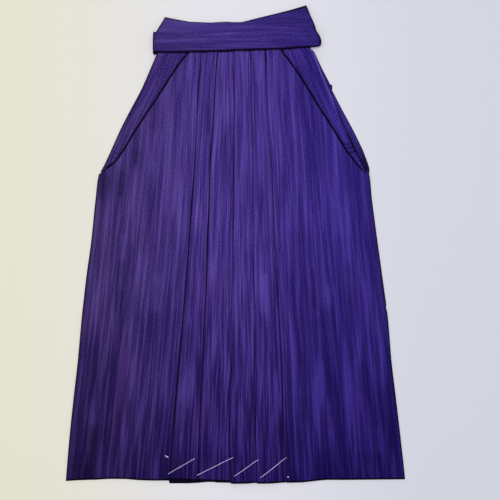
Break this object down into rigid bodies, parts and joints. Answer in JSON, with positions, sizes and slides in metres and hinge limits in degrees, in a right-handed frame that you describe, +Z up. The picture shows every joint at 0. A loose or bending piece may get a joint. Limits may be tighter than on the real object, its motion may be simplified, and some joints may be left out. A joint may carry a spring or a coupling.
{
  "type": "hakama trousers",
  "caption": "Pleated hakama trousers laid flat, front up, with side pleats, a front band, a back band and the ties folded behind.",
  "frame": {"origin": "centre of the garment's outline, on the surface that it lies on", "axes": "+X to the viewer's right, +Y from the hem to the waist, +Z up from the surface through the cloth's plies"},
  "size_m": [0.7125, 1.0041, 0.0114],
  "materials": {
    "cloth": "matt woven cloth with lighter violet streaks along its length",
    "band_cloth": "the same cloth with the streaks along the band"
  },
  "bodies": {
    "root": {"front_left_leg": "cloth", "front_right_leg": "cloth", "side_pleat_left": "cloth", "side_pleat_right": "cloth", "back_left_leg": "cloth", "back_right_leg": "cloth", "inner_leg_left": "cloth", "inner_leg_right": "cloth", "front_band": "band_cloth", "back_band_left": "band_cloth", "back_band_right": "band_cloth", "folded_ties": "band_cloth"}
  },
  "joints": []
}
